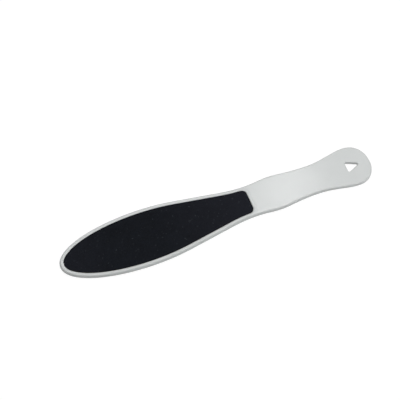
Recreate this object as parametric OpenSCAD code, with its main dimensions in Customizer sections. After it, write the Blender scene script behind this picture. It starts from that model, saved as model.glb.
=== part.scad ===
// Foot file: one moulded plastic paddle, with a sheet of coarse abrasive paper let into
// its upper face and a sheet of fine abrasive paper let into its lower face.
// Millimetres. X runs from the tip of the paddle to the end of the handle and Z is up.
// The part lies on its fine sheet, and the origin is under the middle of its length.

/* [Lengths along the middle line] */
// From the tip to the widest place of the paddle
tip_length = 69.4; // [55:0.1:90]
// From the widest place of the paddle to the narrowest place of the neck
paddle_taper = 87.3; // [70:0.1:110]
// From the neck to the widest place of the grip
grip_rise = 21.6; // [16:0.1:35]
// From the widest place of the grip to the waist behind it
grip_fall = 30.6; // [22:0.1:45]
// From the waist to the widest place of the handle's end
end_rise = 35.2; // [25:0.1:50]
// From the widest place of the handle's end to the end itself
end_length = 15.9; // [12:0.1:25]

/* [Widths] */
// Width of the paddle at its widest place
paddle_w = 48.4; // [42:0.1:60]
// Width of the neck
neck_w = 27.5; // [24:0.1:34]
// Width of the grip at its widest place
grip_w = 30.2; // [26:0.1:38]
// Width of the waist behind the grip
waist_w = 25.8; // [22:0.1:32]
// Width of the handle's end at its widest place
end_w = 35.1; // [28:0.1:44]

/* [Roundness of the ends] */
// Power of the curve round the tip: 2 is an ellipse and more is squarer
tip_power = 2.05; // [1.9:0.01:2.5]
// Power of the curve round the handle's end
end_power = 2.11; // [1.9:0.01:2.5]

/* [Plate] */
// Thickness of the moulded plate
plate_thick = 3.6; // [3:0.1:5]
// Radius of the plate's long edges
edge_round = 1.4; // [0.6:0.1:1.4]

/* [Seats of the sheets] */
// Plastic left between the outline and the wall of a seat
rim_w = 3.1; // [3.1:0.1:5]
// Depth of a seat below the face of the plate
seat_depth = 0.5; // [0.2:0.05:0.9]
// Radius of a seat's two corners at the neck
seat_corner = 4.4; // [1:0.1:8]
// From the straight end of a seat to the narrowest place of the neck
seat_end_back = 0.45; // [0.3:0.05:4]
// Width of the bead that stands round a seat
bead_w = 1.5; // [0.8:0.1:1.6]
// Height of the bead above the face of the plate
bead_high = 0.3; // [0.1:0.05:0.5]

/* [Abrasive sheets] */
// Gap between the edge of a sheet and the wall of its seat
sheet_gap = 0.2; // [0.1:0.05:0.6]
// Thickness of the adhesive film under each sheet
adhesive_thick = 0.1; // [0.05:0.05:0.2]
// Thickness of the paper that carries the grit
paper_thick = 0.45; // [0.2:0.05:0.8]
// Thickness of the coarse coat of grit
coarse_thick = 0.4; // [0.3:0.05:0.8]
// Thickness of the fine coat of grit
fine_thick = 0.3; // [0.25:0.05:0.6]

/* [Hanging hole] */
// From the end of the handle to the hole's pointed corner
hole_margin = 9.1; // [6:0.1:14]
// Length of the triangle, from its base to its pointed corner
hole_length = 11; // [9:0.1:16]
// Width of the triangle's base
hole_w = 9.6; // [8:0.1:16]
// Radius of the triangle's corners
hole_corner = 1; // [0.4:0.1:1.5]

/* [Hidden] */

// Curve of each side: where its two arcs meet, as a share of their radii, and how much
// steeper than its chord the straight between them runs
taper_arc_share = 0.6;
taper_steeper_share = 0.4;
rise_arc_share = 0.5;
rise_steeper_share = 0.9;
fall_arc_share = 0.2;
fall_steeper_share = 0.6;
end_arc_share = 0.65;
end_steeper_share = 0.5;

// Steps along each stretch of the outline and round its edges
tip_steps = 20;
taper_steps = 18;
rise_steps = 7;
fall_steps = 8;
end_rise_steps = 10;
end_steps = 14;
edge_steps = 4;
bead_steps = 8;
corner_steps = 5;
solve_steps = 6;

// A stretch whose two widths are equal still has this much of a step
least_step = 0.001;
// Overrun of a cut past the face that it leaves
cut_over = 1;
// Depth that a bead is rooted in the plate, and its reach past the wall of the seat
bead_root = 0.25;
bead_reach = 0.35;

// Places along the middle line, counted from the tip
widest_x = tip_length;
neck_x = widest_x + paddle_taper;
grip_x = neck_x + grip_rise;
waist_x = grip_x + grip_fall;
end_widest_x = waist_x + end_rise;
total_length = end_widest_x + end_length;
seat_end_x = neck_x - seat_end_back;

// Heights: the fine sheet's face is the lowest, and its bead stands a little above it
sheet_under = adhesive_thick + paper_thick;
fine_proud = sheet_under + fine_thick - seat_depth;
coarse_proud = sheet_under + coarse_thick - seat_depth;
plate_low = fine_proud;
plate_high = plate_low + plate_thick;
fine_floor = plate_low + seat_depth;
coarse_floor = plate_high - seat_depth;

// Half width and slope of an S-shaped side at u along a stretch from width wa to wb
function side(u, run, wa, wb, arc_share, steeper_share) =
    let (
        rise = max(abs(wb - wa) / 2, least_step),
        way = wb < wa ? -1 : 1,
        top = atan2(rise, run) * (1 + steeper_share),
        radius = (run * sin(top) - rise * cos(top)) / (1 - cos(top)),
        first = radius * arc_share,
        last = radius - first,
        slope = u < first * sin(top) ? asin(u / first)
            : u > run - last * sin(top) ? asin((run - u) / last)
            : top,
        height = u < first * sin(top) ? first * (1 - cos(slope))
            : u > run - last * sin(top) ? rise - last * (1 - cos(slope))
            : first * (1 - cos(top)) + (u - first * sin(top)) * tan(top)
    )
    [wa / 2 + way * height, way * slope];

// Point of the tapering side of the paddle at u past its widest place, moved inward
function taper_point(u, inset) =
    let (at = side(u, paddle_taper, paddle_w, neck_w, taper_arc_share, taper_steeper_share))
    [widest_x + u + inset * sin(at[1]), at[0] - inset * cos(at[1])];

// Point of the round tip at angle a from the middle line, moved inward
function tip_point(a, inset) =
    let (
        share = 2 / tip_power,
        out = [-pow(cos(a), 2 - share) / tip_length, pow(sin(a), 2 - share) * 2 / paddle_w],
        unit = out / norm(out)
    )
    [tip_length * (1 - pow(cos(a), share)) - inset * unit[0],
        paddle_w / 2 * pow(sin(a), share) - inset * unit[1]];

// Point of the handle's round end at angle a from the middle line
function end_point(a) =
    let (share = 2 / end_power)
    [end_widest_x + end_length * pow(cos(a), share), end_w / 2 * pow(sin(a), share)];

// Points of one S-shaped stretch of the handle, without its first
function stretch(start_x, run, wa, wb, arc_share, steeper_share, steps) = [
    for (i = [1:steps])
        [start_x + run * i / steps, side(run * i / steps, run, wa, wb, arc_share, steeper_share)[0]]
];

// A closed outline from the points of its upper side, which starts and may end on the middle line
function closed(upper) = concat(
    upper,
    [for (i = [len(upper) - 1:-1:1]) if (upper[i][1] > least_step) [upper[i][0], -upper[i][1]]]
);

// The outline of the whole part
function outline() = closed(concat(
    [for (i = [0:tip_steps]) tip_point(90 * i / tip_steps, 0)],
    [for (i = [1:taper_steps]) taper_point(paddle_taper * i / taper_steps, 0)],
    stretch(neck_x, grip_rise, neck_w, grip_w, rise_arc_share, rise_steeper_share, rise_steps),
    stretch(grip_x, grip_fall, grip_w, waist_w, fall_arc_share, fall_steeper_share, fall_steps),
    stretch(waist_x, end_rise, waist_w, end_w, end_arc_share, end_steeper_share, end_rise_steps),
    [for (i = [end_steps - 1:-1:1]) end_point(90 * i / end_steps)],
    [[total_length, 0]]
));

// Stretch of the taper at which a corner of this radius, this far inside the outline, meets the straight end
function corner_start(end_x, inset, corner, u, left) =
    left == 0 ? u
        : corner_start(end_x, inset, corner,
            end_x - corner - widest_x - (taper_point(u, inset + corner)[0] - widest_x - u), left - 1);

// A seat's outline, or a sheet's, this far inside the part's outline and straight across the neck
function pad_outline(inset, end_x, corner) =
    let (
        last = corner_start(end_x, inset, corner, paddle_taper, solve_steps),
        centre = taper_point(last, inset + corner),
        from = 90 + side(last, paddle_taper, paddle_w, neck_w, taper_arc_share, taper_steeper_share)[1]
    )
    closed(concat(
        [for (i = [0:tip_steps]) tip_point(90 * i / tip_steps, inset)],
        [for (i = [1:taper_steps]) taper_point(last * i / taper_steps, inset)],
        [for (i = [1:corner_steps]) centre + corner * [
            cos(from * (1 - i / corner_steps)),
            sin(from * (1 - i / corner_steps))
        ]]
    ));

// The outline moved outward, so that each edge stays parallel to itself
function grown(points, by) = [
    for (i = [0:len(points) - 1])
        let (
            here = points[i],
            before = here - points[(i + len(points) - 1) % len(points)],
            after = points[(i + 1) % len(points)] - here,
            a = [-before[1], before[0]] / norm(before),
            b = [-after[1], after[0]] / norm(after)
        )
        here + by * (a + b) / (1 + a * b)
];

// Points of the outline at one height
function ring(points, z) = [for (p = points) [p[0], p[1], z]];

// Quads between two rings of n points, which start at these numbers
function band(n, low, high) = [
    for (i = [0:n - 1]) [low + i, low + (i + 1) % n, high + (i + 1) % n, high + i]
];

// Flat cap over a ring that is the same on both sides of the middle line and starts on it
function cap(n, start) = [
    for (i = [0:ceil(n / 2) - 1])
        let (quad = [i, i + 1, n - i - 1, (n - i) % n])
        [for (k = i == 0 ? [0, 1, 2] : n - i - 1 == i + 1 ? [0, 1, 3] : [0, 1, 2, 3]) start + quad[k]]
];
function turned(faces) = [for (f = faces) [for (i = [len(f) - 1:-1:0]) f[i]]];

// The plate with its rounded edges
module plate() {
    points = outline();
    n = len(points);
    low = [for (i = [0:edge_steps]) edge_round * [1 - sin(90 * i / edge_steps), 1 - cos(90 * i / edge_steps)]];
    levels = concat(low, [for (i = [edge_steps:-1:0]) [low[i][0], plate_thick - low[i][1]]]);
    top = len(levels) - 1;
    polyhedron(
        [for (level = levels) each ring(grown(points, -level[0]), plate_low + level[1])],
        concat(
            [for (k = [0:top - 1]) each band(n, k * n, (k + 1) * n)],
            turned(cap(n, 0)),
            cap(n, top * n)
        )
    );
}

// The bead round a seat, on a face at height z, standing up or hanging down
module bead(z, way) {
    points = pad_outline(rim_w, seat_end_x, seat_corner);
    n = len(points);
    centre = (bead_w - bead_reach) / 2;
    half = (bead_w + bead_reach) / 2;
    arch = [for (i = [0:bead_steps]) let (a = 180 * i / bead_steps)
        [centre + half * cos(a), (bead_high + bead_root) * sin(a) - bead_root]];
    bands = [for (k = [0:bead_steps]) each band(n, k * n, (k + 1) % (bead_steps + 1) * n)];
    polyhedron(
        [for (p = arch) each ring(grown(points, p[0]), z + way * p[1])],
        way > 0 ? bands : turned(bands)
    );
}

// A slab with the outline of a seat or a sheet
module slab(inset, corner, low, high) {
    gap = inset - rim_w;
    translate([0, 0, low])
        linear_extrude(high - low)
            polygon(pad_outline(inset, seat_end_x - gap, corner));
}

// One layer of an abrasive sheet
module layer(low, high) {
    slab(rim_w + sheet_gap, seat_corner - sheet_gap, low, high);
}

// Points of a triangle on the middle line whose corners are rounded
function rounded_triangle(base_x, length, w, corner) =
    let (
        slope = atan2(w / 2, length),
        point = [base_x + length - corner / sin(slope), 0],
        side_corner = [base_x + corner, w / 2 - corner * tan(45 + slope / 2)],
        turn = 90 - slope
    )
    concat(
        [for (i = [-corner_steps:corner_steps]) let (a = turn * i / corner_steps)
            point + corner * [cos(a), sin(a)]],
        [for (i = [0:corner_steps * 2]) let (a = turn + (180 - turn) * i / corner_steps / 2)
            side_corner + corner * [cos(a), sin(a)]],
        [for (i = [corner_steps * 2:-1:0]) let (a = turn + (180 - turn) * i / corner_steps / 2)
            [side_corner[0], -side_corner[1]] + corner * [cos(a), -sin(a)]]
    );

// The hanging hole, cut right through
module hanging_hole() {
    base_x = total_length - hole_margin - hole_length;
    translate([0, 0, plate_low - cut_over])
        linear_extrude(plate_thick + 2 * cut_over)
            polygon(rounded_triangle(base_x, hole_length, hole_w, hole_corner));
}

module centred() {
    translate([-total_length / 2, 0, 0]) children();
}

module handle_moulding() {
    color([0.86, 0.87, 0.87]) centred() difference() {
        union() {
            plate();
            bead(plate_high, 1);
            bead(plate_low, -1);
        }
        slab(rim_w, seat_corner, coarse_floor, plate_high + bead_high + cut_over);
        slab(rim_w, seat_corner, plate_low - bead_high - cut_over, fine_floor);
        hanging_hole();
    }
}

module coarse_adhesive() {
    color([0.80, 0.74, 0.56]) centred() layer(coarse_floor, coarse_floor + adhesive_thick);
}

module coarse_backing() {
    color([0.25, 0.22, 0.20]) centred() layer(coarse_floor + adhesive_thick, coarse_floor + sheet_under);
}

module coarse_grit() {
    color([0.10, 0.11, 0.13]) centred() layer(coarse_floor + sheet_under, plate_high + coarse_proud);
}

module fine_adhesive() {
    color([0.80, 0.74, 0.56]) centred() layer(fine_floor - adhesive_thick, fine_floor);
}

module fine_backing() {
    color([0.25, 0.22, 0.20]) centred() layer(fine_floor - sheet_under, fine_floor - adhesive_thick);
}

module fine_grit() {
    color([0.14, 0.15, 0.17]) centred() layer(plate_low - fine_proud, fine_floor - sheet_under);
}

handle_moulding();
coarse_adhesive();
coarse_backing();
coarse_grit();
fine_adhesive();
fine_backing();
fine_grit();
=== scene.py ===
import math

import bmesh
import bpy
import numpy as np
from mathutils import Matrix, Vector
from mathutils.geometry import delaunay_2d_cdt


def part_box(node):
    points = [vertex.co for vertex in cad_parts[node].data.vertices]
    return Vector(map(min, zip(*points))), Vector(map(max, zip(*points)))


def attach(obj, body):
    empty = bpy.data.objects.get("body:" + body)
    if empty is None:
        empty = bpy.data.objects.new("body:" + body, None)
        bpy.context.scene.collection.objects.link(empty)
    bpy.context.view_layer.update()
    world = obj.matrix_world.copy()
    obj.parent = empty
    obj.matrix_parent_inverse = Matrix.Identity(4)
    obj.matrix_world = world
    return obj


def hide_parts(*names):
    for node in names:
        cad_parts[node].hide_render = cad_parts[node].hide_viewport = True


# A two-sided foot file: a moulded plastic paddle with an abrasive sheet in each face.
# Metres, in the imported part's own frame: X towards the end of the handle, Z up.

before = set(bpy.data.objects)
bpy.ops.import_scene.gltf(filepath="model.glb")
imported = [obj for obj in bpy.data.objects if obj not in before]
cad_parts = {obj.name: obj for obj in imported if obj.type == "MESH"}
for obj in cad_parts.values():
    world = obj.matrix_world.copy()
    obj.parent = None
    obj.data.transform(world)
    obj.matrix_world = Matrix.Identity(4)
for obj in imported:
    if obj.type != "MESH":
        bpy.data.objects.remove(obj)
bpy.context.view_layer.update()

MM = 0.001

# Camera
CAMERA_AZIMUTH = -21.234
CAMERA_ELEVATION = 61.675
CAMERA_DISTANCE = 780 * MM
CAMERA_AIM = (-10.32 * MM, 14.44 * MM, 4.12 * MM)
SENSOR_WIDTH = 36
LENS = 89.37
NEAREST_SEEN = 10 * MM

# Brightness of the soft surroundings
SKY = 0.12

# Lamps: name, place, the point it faces, its diameter in metres and its power in watts
LIGHTS = (
    ("overhead", (0, 0.1, 0.9), (0, 0, 0), 0.9, 2.65),
    ("overhead right", (0.2, 0.25, 0.9), (0, 0, 0), 0.9, 2.8),
    ("front right", (0.6, -0.45, 0.5), (0, 0, 0), 0.5, 1.78),
    ("sheen", (0.30, 0.384, 0.80), (0.05, 0, 0), 0.10, 0.095),
)

# The floor: half its side, how far it lies below the part, how much light it throws back on
# the part, and for the camera its own brightness and how strongly shadows show on it
FLOOR_HALF = 4.0
FLOOR_GAP = 0.02 * MM
FLOOR_BOUNCE = 0.70
FLOOR_WHITE = 0.93
FLOOR_SHADE = 0.14

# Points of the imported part: digits kept of a place in metres, how far from a level or from an
# end a point may be, how far from the middle line, and where the plain handle and the hole begin
PLACE_DIGITS = 8
LEVEL_SLACK = 2e-6
END_SLACK = 1e-6
MIDDLE_SLACK = 1e-7
HANDLE_FROM = 50 * MM
HOLE_FROM = 80 * MM

# Steps along smooth curves: the longest step, the most that a step turns, how finely a curve is
# looked through for them, and the points repeated where a closed curve meets itself
CURVE_STEP = 1.2 * MM
CURVE_TURN = math.radians(4)
CURVE_SAMPLES = 6000
CURVE_OVERLAP = 8

# Steps round the edges, distance between points in a flat face, and width of the narrow band
# that keeps a flat face flat beside a rounding
ROUND_STEPS = 8
SEAT_STEPS = 4
FACE_SPACING = 3 * MM
SUPPORT = 0.06 * MM

# Filling of flat faces: triangles over the whole hull of the points, which may be this near each
# other in mm
WHOLE_HULL = 0
FILL_SLACK = 1e-7

# Places of the colours among the sockets of a Mix node
COLOUR_A = 6
COLOUR_B = 7
COLOUR_RESULT = 2

# The ridge round each seat, measured outwards from the seat's edge: its crest, where its outer
# foot is, and how far its rings reach at the sides and at the straight end
CREST_PLACE = 1.4 * MM
RIDGE_FOOT = 3.1 * MM
RING_REACH = 1.54 * MM
END_REACH = 3.3 * MM
RIDGE_RINGS = 14
BRINK_ROUND = 0.25 * MM
CORNER_ROUND = 0.08 * MM

# The outer edge's parting line: its height and half its width
PARTING_RIDGE = 0.05 * MM
PARTING_HALF = 0.09 * MM

# The hanging hole: its rounding, the step along its rim, and how far inside the rounded outer
# edge its own points lie
HOLE_ROUND = 1.2 * MM
HOLE_STEP = 0.6 * MM
HOLE_CLEAR = 1 * MM

# Papers and films: how far their edges are broken
PAPER_ROUND = 0.03 * MM

# Grit coats: distance between grains and depth of the valleys
COARSE_GRAIN = 0.4 * MM
COARSE_RELIEF = 0.17 * MM
FINE_GRAIN = 0.36 * MM
FINE_RELIEF = 0.07 * MM

# Grains, as shares of the distance between them: how far they are moved off the regular net and
# kept from the edge. Their depths are random numbers to a power: above 1, more reach the top.
GRAIN_JITTER = 0.28
GRAIN_CLEAR = 0.45
GRAIN_POWER = 1.4

# The cut edge of a coat: how ragged it is, the share of that at its shoulder, the width of its
# brow in mm, and how far shoulder and brow lie below the top, as shares of the relief
EDGE_RAGGED = 0.16 * MM
SHOULDER_SHARE = 0.5
BROW_WIDTH = (0.05, 0.16)
SHOULDER_DROP = (1.0, 1.6)
BROW_DROP = (0.1, 1.0)

# Colours of the grit, with paler cells painted on as glints, and for the coarse coat a paler
# colour painted towards its ends as sheen
COARSE_COLOURS = {
    "dark": (0.0013, 0.0018, 0.0034),
    "pale": (0.0051, 0.0066, 0.0099),
    "painted_glint": (0.034, 0.037, 0.043),
    "ends": (0.0148, 0.0157, 0.0226),
}
FINE_COLOURS = {
    "dark": (0.006, 0.0066, 0.008),
    "pale": (0.014, 0.0155, 0.018),
    "painted_glint": (0.04, 0.042, 0.045),
}

# Share of the painted sheen's colour at places along X: the coat is made paler towards the tip and
# towards the handle, in place of the lamps' reflection
PAINTED_SHEEN_ALONG_X = (
    (-125 * MM, 0.33),
    (-109 * MM, 0.22),
    (-90 * MM, 0),
    (-52 * MM, 0),
    (27 * MM, 0.6),
)

# Size of the fine grit's cells of colour, gloss of the grit, how much paler its patches are and
# how much of that they take
FINE_CELLS = FINE_GRAIN * 0.6
GRIT_GLOSS = 0.05
PATCH_PALER = 1.5
PATCH_SHARE = 0.35

# Sizes in the grit's texture, as shares of a cell of colour (the first for the cells of painted
# glints), and depths of its relief
PAINTED_GLINT_CELL = 2.3
DULL_PLACE = 2
FACET = 0.7
FACET_DEPTH = 0.05 * MM
SPECK = 0.25
SPECK_DEPTH = 0.012 * MM


# Curves

class Curve:
    """A cubic curve through points, with a tangent given at each end where there is one."""

    def __init__(self, points, start=None, end=None):
        self.p = np.asarray(points, float)
        steps = np.linalg.norm(np.diff(self.p, axis=0), axis=1)
        self.t = np.concatenate([[0], np.cumsum(steps)])
        n = len(self.p)
        a = np.zeros((n, n))
        b = np.zeros((n, 2))
        slopes = np.diff(self.p, axis=0) / steps[:, None]
        for i in range(1, n - 1):
            a[i, i - 1:i + 2] = steps[i - 1], 2 * (steps[i - 1] + steps[i]), steps[i]
            b[i] = 6 * (slopes[i] - slopes[i - 1])
        a[0, 0] = a[-1, -1] = 1
        if start is not None:
            a[0, :2] = 2 * steps[0], steps[0]
            b[0] = 6 * (slopes[0] - start)
        if end is not None:
            a[-1, -2:] = steps[-1], 2 * steps[-1]
            b[-1] = 6 * (end - slopes[-1])
        self.m = np.linalg.solve(a, b)

    def at(self, u):
        """Places and directions at these lengths along the points."""
        i = np.clip(np.searchsorted(self.t, u) - 1, 0, len(self.t) - 2)
        h = (self.t[i + 1] - self.t[i])[:, None]
        w = ((u - self.t[i]) / h[:, 0])[:, None]
        v = 1 - w
        p0, p1, m0, m1 = self.p[i], self.p[i + 1], self.m[i], self.m[i + 1]
        place = v * p0 + w * p1 + h * h / 6 * ((v ** 3 - v) * m0 + (w ** 3 - w) * m1)
        along = (p1 - p0) / h + h / 6 * ((1 - 3 * v * v) * m0 + (3 * w * w - 1) * m1)
        return place, along / np.linalg.norm(along, axis=1)[:, None]

    def sampled(self, low, high, step=CURVE_STEP, turn=CURVE_TURN):
        """Points and outward normals from low to high, closer together where the curve turns."""
        u = np.linspace(low, high, CURVE_SAMPLES)
        way = self.at(u)[1]
        turned = np.abs(np.diff(np.unwrap(np.arctan2(way[:, 1], way[:, 0]))))
        cost = np.concatenate([[0], np.cumsum(np.diff(u) / step + turned / turn)])
        count = math.ceil(cost[-1])
        place, way = self.at(np.interp(np.linspace(0, cost[-1], count + 1), cost, u))
        return place, np.stack([-way[:, 1], way[:, 0]], 1)


def clockwise(points):
    """A symmetric outline's points in order: its lower side, tip, upper side and middle line."""
    upper = points[points[:, 1] > MIDDLE_SLACK]
    upper = upper[np.lexsort((-upper[:, 1], upper[:, 0]))]
    middle = points[np.abs(points[:, 1]) <= MIDDLE_SLACK]
    tip = middle[np.argmin(middle[:, 0])]
    lower = upper[::-1] * (1, -1)
    return lower, tip, upper, middle


def node_points(node):
    return np.array([v.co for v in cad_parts[node].data.vertices])


def level_points(node, z):
    """The different places in plan of a node's points at one height."""
    points = node_points(node)
    level = points[np.abs(points[:, 2] - z) < LEVEL_SLACK][:, :2]
    return np.unique(np.round(level, PLACE_DIGITS), axis=0)


def plate_outline(z):
    """The moulding's outline as smooth points and outward normals."""
    lower, tip, upper, middle = clockwise(level_points("handle_moulding", z))
    end = middle[np.argmax(middle[:, 0])]
    loop = np.vstack([lower, tip, upper, end])
    curve = Curve(np.vstack([loop[-CURVE_OVERLAP:], loop, loop[:CURVE_OVERLAP]]))
    place, out = curve.sampled(curve.t[CURVE_OVERLAP], curve.t[CURVE_OVERLAP + len(loop)])
    return place[:-1], out[:-1]


def pad_outline(points, step=CURVE_STEP):
    """A seat's or a sheet's outline: one curve round the tip, closed by the straight end."""
    lower, tip, upper, _ = clockwise(points)
    down = np.array([0.0, -1.0])
    curve = Curve(np.vstack([lower, tip, upper]), down, down)
    place, out = curve.sampled(curve.t[0], curve.t[-1], step)
    top, low = place[-1], place[0]
    count = math.ceil((top[1] - low[1]) / step)
    share = np.linspace(0, 1, count + 1)[1:-1, None]
    straight = top + (low - top) * share
    ahead = np.tile([1.0, 0.0], (len(straight), 1))
    return np.vstack([place, straight]), np.vstack([out, ahead])


# Meshes

class Shell:
    """Collects rings and faces of one closed mesh."""

    def __init__(self):
        self.points = []
        self.faces = []

    def ring(self, place, z):
        """Adds points at one height, or at a height each, and gives their numbers."""
        z = np.broadcast_to(z, len(place))
        start = len(self.points)
        self.points.extend(np.column_stack([place, z]).tolist())
        return np.arange(start, start + len(place))

    def bridge(self, a, b):
        for i, j in zip(range(len(a)), np.roll(range(len(a)), -1)):
            self.faces.append((a[i], a[j], b[j], b[i]))

    def join(self, rings):
        """Bands of faces from each ring to the next."""
        for a, b in zip(rings, rings[1:]):
            self.bridge(a, b)
        return rings

    def fill(self, loops, inner=(), inner_z=None):
        """Triangles between an outer loop and the holes in it, through inner points."""
        ids = np.concatenate(loops)
        flat = np.array(self.points)[ids][:, :2]
        if inner_z is None:
            inner_z = self.points[ids[0]][2]
        if len(inner):
            ids = np.concatenate([ids, self.ring(inner, inner_z)])
            flat = np.vstack([flat, inner])
        edges = []
        start = 0
        for loop in loops:
            edges += [(start + i, start + (i + 1) % len(loop)) for i in range(len(loop))]
            start += len(loop)
        places = [Vector(p) for p in flat / MM]
        made = delaunay_2d_cdt(places, edges, [], WHOLE_HULL, FILL_SLACK)
        _, _, triangles, origins, _, _ = made
        source = np.array([numbers[0] for numbers in origins])
        triangles = source[np.array(triangles)]
        centres = flat[triangles].mean(1)
        keep = inside(centres, flat[:len(loops[0])])
        start = len(loops[0])
        for loop in loops[1:]:
            keep &= ~inside(centres, flat[start:start + len(loop)])
            start += len(loop)
        self.faces.extend(map(tuple, ids[triangles[keep]]))

    def piece(self, name, node, material, smooth=True):
        """The finished object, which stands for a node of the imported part."""
        mesh = bpy.data.meshes.new(name)
        mesh.from_pydata(self.points, [], [[int(i) for i in f] for f in self.faces])
        mesh.validate()
        obj = bpy.data.objects.new(name, mesh)
        bpy.context.scene.collection.objects.link(obj)
        face_outward(mesh)
        mesh.polygons.foreach_set("use_smooth", [smooth] * len(mesh.polygons))
        mesh.materials.append(material)
        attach(obj, "root")
        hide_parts(node)
        return obj


def face_outward(mesh):
    bm = bmesh.new()
    bm.from_mesh(mesh)
    bmesh.ops.recalc_face_normals(bm, faces=bm.faces)
    bm.to_mesh(mesh)
    bm.free()


def inside(points, loop):
    """Whether each point is inside a closed loop, by crossings."""
    x, y = points[:, 0], points[:, 1]
    found = np.zeros(len(points), bool)
    for a, b in zip(loop, np.roll(loop, -1, 0)):
        crosses = (a[1] > y) != (b[1] > y)
        if crosses.any():
            at = a[0] + (y[crosses] - a[1]) / (b[1] - a[1]) * (b[0] - a[0])
            found[crosses] ^= x[crosses] < at
    return found


def grid_inside(outer, holes, spacing, clear, rng=None, jitter=0.0):
    """Staggered points inside a loop, clear of it and of its holes."""
    low, high = outer.min(0), outer.max(0)
    rows = np.arange(low[1], high[1], spacing * math.sqrt(3) / 2)
    columns = np.arange(low[0], high[0], spacing)
    x, y = np.meshgrid(columns, rows)
    x = x + np.where(np.arange(len(rows)) % 2, spacing / 2, 0)[:, None]
    points = np.column_stack([x.ravel(), y.ravel()])
    if rng is not None:
        points = points + rng.uniform(-jitter, jitter, points.shape) * spacing
    points = points[inside(points, outer)]
    for hole in holes:
        points = points[~inside(points, hole)]
    for loop in (outer, *holes):
        points = points[distance(points, loop) > clear]
    return points


def distance(points, loop):
    """Distance from each point to a closed loop."""
    best = np.full(len(points), np.inf)
    for a, b in zip(loop, np.roll(loop, -1, 0)):
        edge = b - a
        t = np.clip((points - a) @ edge / (edge @ edge), 0, 1)
        best = np.minimum(best, np.linalg.norm(points - a - t[:, None] * edge, axis=1))
    return best


# The moulding

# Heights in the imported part: the ends of the outer wall, the two faces, the floors of the two
# seats, and the bead's height above its face
moulding_points = node_points("handle_moulding")
at_tip = moulding_points[:, 0] < moulding_points[:, 0].min() + END_SLACK
tip_heights = moulding_points[at_tip][:, 2]
handle_heights = moulding_points[moulding_points[:, 0] > HANDLE_FROM][:, 2]
WALL_LOW, WALL_HIGH = tip_heights.min(), tip_heights.max()
FACE_LOW, FACE_HIGH = handle_heights.min(), handle_heights.max()
EDGE_ROUND = FACE_HIGH - WALL_HIGH
SEAT_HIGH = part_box("coarse_adhesive")[0].z
SEAT_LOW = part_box("fine_adhesive")[1].z
BEAD_HIGH = moulding_points[:, 2].max() - FACE_HIGH


class Face:
    """The upper or lower face: flat, raised round the seat and rounded off at the outline."""

    def __init__(self, level, way, outline, seat):
        self.level = level
        self.way = way
        self.outline = outline
        self.seat = seat

    def height(self, points):
        off = np.abs(distance(points, self.seat) - CREST_PLACE) / (RIDGE_FOOT - CREST_PLACE)
        lift = BEAD_HIGH * np.clip(1 - off ** 2, 0, 1) ** 2
        near = np.clip(1 - distance(points, self.outline) / EDGE_ROUND, 0, 1)
        drop = EDGE_ROUND * (1 - np.sqrt(1 - near ** 2))
        return self.level + self.way * (lift - drop)

    def ring(self, shell, points):
        return shell.ring(points, self.height(points))


def rounded_edge(shell, face, place, out):
    """Rings from the edge of the flat face over the rounded edge, down to the wall."""
    turns = np.linspace(math.pi / 2, 0, ROUND_STEPS + 1)[:-1]
    insets = [EDGE_ROUND * (1 - math.cos(a)) for a in turns]
    insets = [EDGE_ROUND + SUPPORT] + insets
    rings = [face.ring(shell, place - out * q) for q in insets]
    return rings + [shell.ring(place, face.level - face.way * EDGE_ROUND)]


def parting_line(shell, place, out):
    """Rings along the fine ridge where the halves of the mould meet."""
    middle = (WALL_LOW + WALL_HIGH) / 2
    steps = [(0, PARTING_HALF), (PARTING_RIDGE, 0), (0, -PARTING_HALF)]
    return [shell.ring(place + out * q, middle + z) for q, z in steps]


def ridge_and_seat(shell, face, place, out, floor):
    """Rings over the ridge round a seat, and down the seat's wall to its floor."""
    ahead = np.clip(out[:, :1], 0, 1)
    reach = RING_REACH + (END_REACH - RING_REACH) * ahead ** 2
    shares = np.linspace(1, BRINK_ROUND / RING_REACH, RIDGE_RINGS)
    rings = [face.ring(shell, place + out * reach * share) for share in shares[:-1]]
    brink = face.height(place + out * BRINK_ROUND)
    turns = np.linspace(0, math.pi / 2, SEAT_STEPS)
    for a in turns:
        aside = BRINK_ROUND * (1 - math.sin(a))
        drop = BRINK_ROUND * (1 - math.cos(a))
        rings.append(shell.ring(place + out * aside, brink - face.way * drop))
    for a in turns:
        aside = -CORNER_ROUND * (1 - math.cos(a))
        rise = CORNER_ROUND * (1 - math.sin(a))
        rings.append(shell.ring(place + out * aside, floor + face.way * rise))
    return rings + [shell.ring(place - out * (CORNER_ROUND + SUPPORT), floor)]


def hole_section():
    """From the upper face over a rounded edge, through the hole, to the lower face."""
    upper = [(HOLE_ROUND + SUPPORT, FACE_HIGH)]
    for a in np.linspace(math.pi / 2, 0, ROUND_STEPS + 1):
        drop = HOLE_ROUND * (1 - math.sin(a))
        upper.append((HOLE_ROUND * (1 - math.cos(a)), FACE_HIGH - drop))
    return upper + [(q, FACE_LOW + FACE_HIGH - z) for q, z in upper[::-1]]


def hole_outline():
    """The triangular hole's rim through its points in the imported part, with outward normals."""
    p = level_points("handle_moulding", FACE_HIGH)
    outer = plate_outline(WALL_HIGH)[0]
    rim = p[distance(p, outer) > EDGE_ROUND + HOLE_CLEAR]
    rim = rim[rim[:, 0] > HOLE_FROM]
    angles = np.arctan2(rim[:, 1], rim[:, 0] - rim[:, 0].mean())
    loop = rim[np.argsort(-angles)]
    lengths = np.linalg.norm(np.roll(loop, -1, 0) - loop, axis=1)
    points = []
    for a, b, length in zip(loop, np.roll(loop, -1, 0), lengths):
        steps = max(1, round(length / HOLE_STEP))
        for k in range(steps):
            points.append(a + (b - a) * k / steps)
    points = np.array(points)
    way = np.roll(points, -1, 0) - np.roll(points, 1, 0)
    way /= np.linalg.norm(way, axis=1)[:, None]
    normals = np.stack([-way[:, 1], way[:, 0]], 1)
    return points, normals


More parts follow.
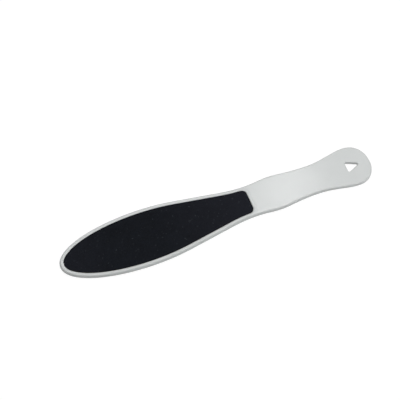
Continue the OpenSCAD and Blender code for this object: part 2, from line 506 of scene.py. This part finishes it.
def make_moulding(material):
    shell = Shell()
    place, out = plate_outline(WALL_HIGH)
    seat, seat_out = pad_outline(level_points("handle_moulding", SEAT_HIGH))
    hole, hole_out = hole_outline()
    upper = Face(FACE_HIGH, 1, place, seat)
    lower = Face(FACE_LOW, -1, place, seat)
    edge = rounded_edge(shell, upper, place, out)
    edge += parting_line(shell, place, out)
    edge += rounded_edge(shell, lower, place, out)[::-1]
    shell.join(edge)
    above = shell.join(ridge_and_seat(shell, upper, seat, seat_out, SEAT_HIGH))
    below = shell.join(ridge_and_seat(shell, lower, seat, seat_out, SEAT_LOW))
    through = shell.join([shell.ring(hole + hole_out * q, z) for q, z in hole_section()])
    flat = np.array(shell.points)[:, :2]
    holes = (flat[above[0]], flat[through[0]])
    handle = grid_inside(flat[edge[0]], holes, FACE_SPACING, FACE_SPACING / 2)
    floor = grid_inside(flat[above[-1]], (), 2 * FACE_SPACING, FACE_SPACING)
    shell.fill([edge[0], above[0], through[0]], handle, upper.height(handle))
    shell.fill([edge[-1], below[0], through[-1]], handle, lower.height(handle))
    shell.fill([above[-1]], floor)
    shell.fill([below[-1]], floor)
    return shell.piece("paddle_and_handle", "handle_moulding", material)


# The sheets

def make_layer(name, node, material):
    """One smooth-sided layer of a sheet, with its edges just broken."""
    low, high = (corner.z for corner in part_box(node))
    place, out = pad_outline(level_points(node, high))
    shell = Shell()
    r = PAPER_ROUND
    section = [(-r, high), (0, high - r), (0, low + r), (-r, low)]
    rings = shell.join([shell.ring(place + out * q, z) for q, z in section])
    loop = np.array(shell.points)[rings[0]][:, :2]
    inner = grid_inside(loop, (), 2 * FACE_SPACING, FACE_SPACING)
    shell.fill([rings[0]], inner)
    shell.fill([rings[-1]], inner)
    return shell.piece(name, node, material)


def make_grit(name, node, material, facing, spacing, relief, seed):
    """A coat of grains: a jittered net of facets whose peaks lie in the node's outer face."""
    rng = np.random.default_rng(seed)
    low, high = (corner.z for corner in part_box(node))
    base, face = (low, high) if facing > 0 else (high, low)
    place, out = pad_outline(level_points(node, high), spacing)
    count = len(place)
    shell = Shell()
    foot = shell.ring(place, base)
    ragged = rng.uniform(0, EDGE_RAGGED, count)
    drop = relief * rng.uniform(*SHOULDER_DROP, count)
    shoulder = shell.ring(place - out * ragged[:, None] * SHOULDER_SHARE, face - facing * drop)
    brow_in = ragged + rng.uniform(*BROW_WIDTH, count) * MM
    drop = relief * rng.uniform(*BROW_DROP, count)
    brow = shell.ring(place - out * brow_in[:, None], face - facing * drop)
    shell.bridge(foot, shoulder)
    shell.bridge(shoulder, brow)
    loop = np.array(shell.points)[brow][:, :2]
    grains = grid_inside(loop, (), spacing, spacing * GRAIN_CLEAR, rng, GRAIN_JITTER)
    depth = rng.uniform(0, 1, len(grains)) ** GRAIN_POWER
    shell.fill([brow], grains, face - facing * relief * depth)
    shell.fill([foot])
    return shell.piece(name, node, material, smooth=False)


# Materials

def grey(value):
    return value, value, value, 1


class Material:
    """A node material in the object's own coordinates, in metres."""

    def __init__(self, name):
        self.data = bpy.data.materials.new(name)
        self.data.use_nodes = True
        self.nodes = self.data.node_tree.nodes
        self.links = self.data.node_tree.links
        self.shader = self.nodes["Principled BSDF"]
        self.place = self.nodes.new("ShaderNodeTexCoord").outputs["Object"]

    def set(self, **values):
        for name, value in values.items():
            self.shader.inputs[name.replace("_", " ")].default_value = value

    def noise(self, size, detail=2.0, roughness=0.5):
        """Cloudy noise whose features are this large."""
        n = self.nodes.new("ShaderNodeTexNoise")
        n.inputs["Scale"].default_value = 1 / size
        n.inputs["Detail"].default_value = detail
        n.inputs["Roughness"].default_value = roughness
        self.links.new(self.place, n.inputs["Vector"])
        return n.outputs["Fac"]

    def along(self, stops):
        """A value that follows these (X, value) pairs along the object."""
        split = self.nodes.new("ShaderNodeSeparateXYZ")
        self.links.new(self.place, split.inputs[0])
        first, last = stops[0][0], stops[-1][0]
        share = self.between(split.outputs["X"], 0, 1, first, last)
        n = self.nodes.new("ShaderNodeValToRGB")
        ramp = n.color_ramp.elements
        while len(ramp) < len(stops):
            ramp.new(1)
        for stop, (x, value) in zip(ramp, stops):
            stop.position = (x - first) / (last - first)
            stop.color = grey(value)
        self.links.new(share, n.inputs["Fac"])
        return n.outputs["Color"]

    def cells(self, size, output="Distance"):
        """Cells of this size: the distance from each cell's middle, or a colour for each."""
        n = self.nodes.new("ShaderNodeTexVoronoi")
        n.inputs["Scale"].default_value = 1 / size
        self.links.new(self.place, n.inputs["Vector"])
        return n.outputs[output]

    def between(self, value, low, high, from_low=0.3, from_high=0.7):
        """A value spread between two numbers."""
        n = self.nodes.new("ShaderNodeMapRange")
        n.inputs["From Min"].default_value = from_low
        n.inputs["From Max"].default_value = from_high
        n.inputs["To Min"].default_value = low
        n.inputs["To Max"].default_value = high
        self.links.new(value, n.inputs["Value"])
        return n.outputs["Result"]

    def mix(self, factor, a, b):
        """One colour turning into another."""
        n = self.nodes.new("ShaderNodeMix")
        n.data_type = "RGBA"
        self.links.new(factor, n.inputs["Factor"])
        for place, colour in ((COLOUR_A, a), (COLOUR_B, b)):
            if isinstance(colour, tuple):
                n.inputs[place].default_value = (*colour, 1)
            else:
                self.links.new(colour, n.inputs[place])
        return n.outputs[COLOUR_RESULT]

    def bump(self, height, distance, under=None):
        """Surface relief this deep, on top of another where there is one."""
        n = self.nodes.new("ShaderNodeBump")
        n.inputs["Distance"].default_value = distance
        self.links.new(height, n.inputs["Height"])
        if under is not None:
            self.links.new(under, n.inputs["Normal"])
        return n.outputs["Normal"]

    def link(self, value, name):
        self.links.new(value, self.shader.inputs[name])


def plastic_material():
    """Off-white plastic, faintly clouded and wavy, that lets a little light in."""
    m = Material("moulded_plastic")
    dark = (0.691, 0.7135, 0.708)
    pale = (0.708, 0.7315, 0.7255)
    cloud_size = 14 * MM
    handled_size = 5 * MM
    wave_size = 6 * MM
    wave_depth = 0.008 * MM
    grain_size = 0.16 * MM
    grain_depth = 0.001 * MM
    cloud = m.between(m.noise(cloud_size, detail=3), low=0, high=1)
    m.link(m.mix(cloud, dark, pale), "Base Color")
    handled = m.noise(handled_size, detail=4)
    m.link(m.between(handled, low=0.12, high=0.16), "Roughness")
    m.set(
        IOR=1.49,
        Subsurface_Weight=0.25,
        Subsurface_Radius=(1, 1, 1),
        Subsurface_Scale=0.6 * MM,
    )
    wave = m.bump(m.noise(wave_size, detail=1), wave_depth)
    m.link(m.bump(m.noise(grain_size), grain_depth, wave), "Normal")
    return m.data


def grit_material(name, grain, dark, pale, painted_glint, ends=None):
    """Black grains in resin, in cells of slightly different tone, with glints painted on a few
    cells as a paler colour and, where given, a painted sheen towards the ends.
    """
    m = Material(name)
    patch_size = 9 * MM
    tones = m.cells(grain, output="Color")
    body = m.mix(m.between(tones, low=0, high=1, from_low=0.1, from_high=0.9), dark, pale)
    cloud = m.between(m.noise(patch_size, detail=3), low=0, high=1)
    patch = m.between(cloud, low=0, high=PATCH_SHARE, from_low=0, from_high=1)
    body = m.mix(patch, body, tuple(c * PATCH_PALER for c in pale))
    # Painted sheen: the coat's colour is mixed towards a paler one along X, standing in for the
    # lamps' reflection near its ends
    if ends is not None:
        body = m.mix(m.along(PAINTED_SHEEN_ALONG_X), body, ends)
    # Painted glints: a few cells take a paler base colour that stands in for grains catching the
    # light
    cells = m.cells(grain * PAINTED_GLINT_CELL, output="Color")
    painted_glint_share = m.between(cells, low=0, high=1, from_low=0.86, from_high=1.02)
    m.link(m.mix(painted_glint_share, body, painted_glint), "Base Color")
    m.link(m.between(m.noise(grain * DULL_PLACE), low=0.38, high=0.62), "Roughness")
    m.set(Specular_IOR_Level=GRIT_GLOSS)
    facets = m.bump(m.cells(grain * FACET), FACET_DEPTH)
    m.link(m.bump(m.noise(grain * SPECK), SPECK_DEPTH, facets), "Normal")
    return m.data


def paper_material():
    """Dark paper soaked in resin, with its fibres showing."""
    m = Material("backing_paper")
    dark = (0.035, 0.030, 0.027)
    pale = (0.075, 0.066, 0.058)
    fibre_size = 0.25 * MM
    relief_size = 0.12 * MM
    relief_depth = 0.02 * MM
    fibres = m.between(m.noise(fibre_size, detail=5, roughness=0.7), low=0, high=1)
    m.link(m.mix(fibres, dark, pale), "Base Color")
    m.set(Roughness=0.85)
    m.link(m.bump(m.noise(relief_size, detail=4), relief_depth), "Normal")
    return m.data


def film_material():
    """Yellowish adhesive, uneven as it was rolled on."""
    m = Material("adhesive_film")
    dark = (0.62, 0.56, 0.40)
    pale = (0.74, 0.69, 0.54)
    cloud_size = 1.5 * MM
    relief_size = 0.3 * MM
    relief_depth = 0.01 * MM
    cloud = m.between(m.noise(cloud_size, detail=3), low=0, high=1)
    m.link(m.mix(cloud, dark, pale), "Base Color")
    m.set(Roughness=0.45)
    m.link(m.bump(m.noise(relief_size), relief_depth), "Normal")
    return m.data


# Stage, lights and camera

def make_floor():
    """A plain white floor that shows only a soft shadow under the object."""
    mesh = bpy.data.meshes.new("floor")
    corners = [(-1, -1), (1, -1), (1, 1), (-1, 1)]
    mesh.from_pydata([(x * FLOOR_HALF, y * FLOOR_HALF, 0) for x, y in corners], [], [(0, 1, 2, 3)])
    floor = bpy.data.objects.new("floor", mesh)
    bpy.context.scene.collection.objects.link(floor)
    floor.location.z = -FLOOR_GAP
    material = bpy.data.materials.new("floor")
    material.use_nodes = True
    nodes, links = material.node_tree.nodes, material.node_tree.links
    nodes.clear()
    lit = nodes.new("ShaderNodeBsdfDiffuse")
    lit.inputs["Color"].default_value = grey(FLOOR_BOUNCE)
    shaded = nodes.new("ShaderNodeBsdfDiffuse")
    shaded.inputs["Color"].default_value = grey(FLOOR_SHADE)
    white = nodes.new("ShaderNodeEmission")
    white.inputs["Strength"].default_value = FLOOR_WHITE
    seen = nodes.new("ShaderNodeAddShader")
    links.new(shaded.outputs[0], seen.inputs[0])
    links.new(white.outputs[0], seen.inputs[1])
    choose = nodes.new("ShaderNodeMixShader")
    links.new(seen_directly(nodes, links), choose.inputs[0])
    links.new(lit.outputs[0], choose.inputs[1])
    links.new(seen.outputs[0], choose.inputs[2])
    output = nodes.new("ShaderNodeOutputMaterial")
    links.new(choose.outputs[0], output.inputs["Surface"])
    mesh.materials.append(material)


def seen_directly(nodes, links):
    """1 for rays from the camera and for those that gloss or glass sends on."""
    path = nodes.new("ShaderNodeLightPath")
    total = None
    for name in ("Is Camera Ray", "Is Glossy Ray", "Is Transmission Ray"):
        if total is None:
            total = path.outputs[name]
            continue
        add = nodes.new("ShaderNodeMath")
        add.use_clamp = True
        links.new(total, add.inputs[0])
        links.new(path.outputs[name], add.inputs[1])
        total = add.outputs[0]
    return total


def make_world():
    """Dim light from all round for the object, and white for the camera."""
    world = bpy.data.worlds.new("studio")
    bpy.context.scene.world = world
    world.use_nodes = True
    nodes, links = world.node_tree.nodes, world.node_tree.links
    nodes.clear()
    ambient = nodes.new("ShaderNodeBackground")
    ambient.inputs["Color"].default_value = grey(1)
    ambient.inputs["Strength"].default_value = SKY
    white = nodes.new("ShaderNodeBackground")
    white.inputs["Color"].default_value = grey(1)
    choose = nodes.new("ShaderNodeMixShader")
    links.new(seen_directly(nodes, links), choose.inputs[0])
    links.new(ambient.outputs[0], choose.inputs[1])
    links.new(white.outputs[0], choose.inputs[2])
    output = nodes.new("ShaderNodeOutputWorld")
    links.new(choose.outputs[0], output.inputs["Surface"])


def make_light(name, place, aim, size, power):
    data = bpy.data.lights.new(name, "AREA")
    data.shape = "DISK"
    data.size = size
    data.energy = power
    light = bpy.data.objects.new(name, data)
    light.location = place
    light.rotation_euler = (Vector(aim) - Vector(place)).to_track_quat("-Z", "Y").to_euler()
    bpy.context.scene.collection.objects.link(light)


def make_camera():
    azimuth, elevation = math.radians(CAMERA_AZIMUTH), math.radians(CAMERA_ELEVATION)
    back = Vector((
        math.sin(azimuth) * math.cos(elevation),
        -math.cos(azimuth) * math.cos(elevation),
        math.sin(elevation),
    ))
    data = bpy.data.cameras.new("camera")
    data.sensor_width = SENSOR_WIDTH
    data.lens = LENS
    data.clip_start = NEAREST_SEEN
    camera = bpy.data.objects.new("camera", data)
    camera.location = Vector(CAMERA_AIM) + back * CAMERA_DISTANCE
    camera.rotation_euler = back.to_track_quat("Z", "Y").to_euler()
    bpy.context.scene.collection.objects.link(camera)
    bpy.context.scene.camera = camera


make_camera()
make_world()
make_floor()
for light in LIGHTS:
    make_light(*light)
bpy.context.scene.view_settings.view_transform = "Standard"

paper = paper_material()
film = film_material()
make_moulding(plastic_material())
make_layer("coarse_paper", "coarse_backing", paper)
make_layer("coarse_film", "coarse_adhesive", film)
make_layer("fine_paper", "fine_backing", paper)
make_layer("fine_film", "fine_adhesive", film)
make_grit(
    "coarse_grains", "coarse_grit",
    grit_material("coarse_abrasive", COARSE_GRAIN, **COARSE_COLOURS),
    facing=1, spacing=COARSE_GRAIN, relief=COARSE_RELIEF, seed=11)
make_grit(
    "fine_grains", "fine_grit",
    grit_material("fine_abrasive", FINE_CELLS, **FINE_COLOURS),
    facing=-1, spacing=FINE_GRAIN, relief=FINE_RELIEF, seed=12)
